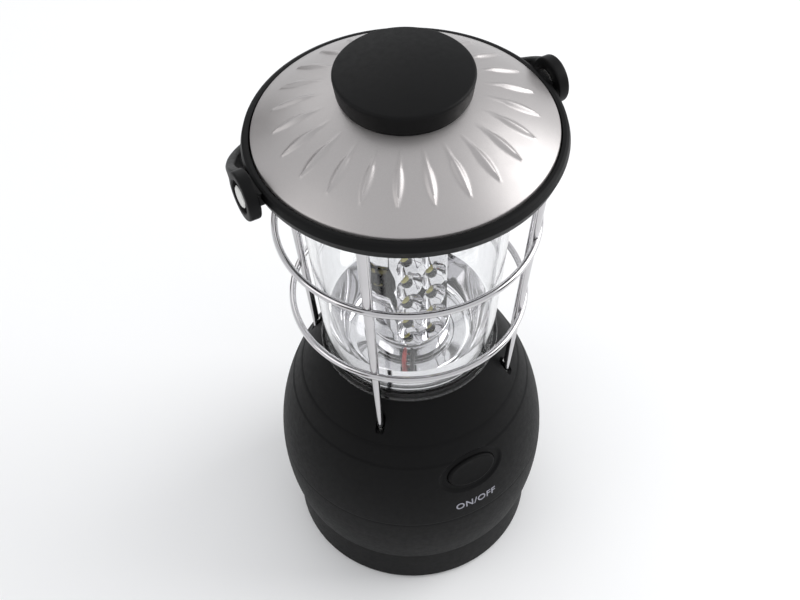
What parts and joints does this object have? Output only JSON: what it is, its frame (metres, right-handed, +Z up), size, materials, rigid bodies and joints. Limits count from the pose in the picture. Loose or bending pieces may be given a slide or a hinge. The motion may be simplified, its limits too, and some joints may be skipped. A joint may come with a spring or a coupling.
{
  "type": "camping lantern",
  "caption": "Camping lantern: bulbous matt black base with push button, clear tapering globe with mirrored light tower, chromed wire guard, silver ribbed domed roof, folding bail handle.",
  "frame": {"origin": "centre of the ring that the lantern stands on, at the standing surface", "axes": "+Z up along the lantern's axis, X along the handle's pivot axis, -Y to the front, where the push button is"},
  "size_m": [0.1312, 0.1273, 0.2746],
  "materials": {
    "black_rubberised": "soft-touch matt",
    "black_plastic": "fine-grained matt",
    "rubber": "matt",
    "silver_paint": "satin silver paint",
    "chrome_wire": "bright",
    "mirror_plastic": "vacuum-plated mirror",
    "clear_lens": "clear",
    "led_epoxy": "clear, pale yellow core",
    "circuit_board": "solder mask",
    "zinc_screw": "zinc plated",
    "contact_metal": "nickel plated",
    "cell_jacket": "printed jacket, plain",
    "switch_plastic": "moulded",
    "natural_plastic": "moulded",
    "lead_red": "PVC",
    "lead_black": "PVC"
  },
  "bodies": {
    "base": {"contact_disc": "natural_plastic", "lower_contacts": "contact_metal", "battery_springs": "contact_metal", "battery_cells": "cell_jacket", "battery_holder": "natural_plastic", "upper_contacts": "contact_metal", "base_housing": "black_rubberised", "lens_gasket_lower": "rubber", "lens": "clear_lens", "lens_gasket_upper": "rubber", "reflector_dish": "mirror_plastic", "light_tower": "mirror_plastic", "led_board_front": "circuit_board", "led_board_rear": "circuit_board", "leds_front": "led_epoxy", "leds_rear": "led_epoxy", "ceiling_reflector": "mirror_plastic", "lamp_lead_red": "lead_red", "lamp_lead_black": "lead_black", "guard_posts": "chrome_wire", "guard_ring_upper": "chrome_wire", "guard_ring_lower": "chrome_wire", "post_screws": "zinc_screw", "tie_screws": "zinc_screw", "rim_ring": "black_plastic", "roof_screws": "zinc_screw", "roof_dome": "silver_paint", "top_knob": "black_plastic", "knob_screw": "zinc_screw", "pivot_screws": "zinc_screw", "pivot_washers": "zinc_screw", "push_switch": "switch_plastic", "switch_board": "circuit_board", "switch_board_screws": "zinc_screw"},
    "handle": {"handle": "black_plastic"},
    "push_button": {"push_button": "black_rubberised", "switch_plunger": "natural_plastic"},
    "battery_cover": {"battery_cover": "black_rubberised", "foot_pad": "rubber", "cover_seal": "rubber"}
  },
  "joints": [
    {"name": "handle_swing", "type": "hinge", "parent": "base", "child": "handle", "pos_m": [0, 0, 0.2432], "axis": [1, 0, 0], "range_deg": [0, 240]},
    {"name": "button_press", "type": "slide", "parent": "base", "child": "push_button", "axis": [0, 0.9524, -0.305], "range_m": [0, 0.0015], "stiffness_N_per_m": 1200, "springref_m": -0.001},
    {"name": "battery_cover_turn", "type": "hinge", "parent": "base", "child": "battery_cover", "pos_m": [0, 0, 0.0138], "axis": [0, 0, 1], "range_deg": [0, 35]}
  ]
}
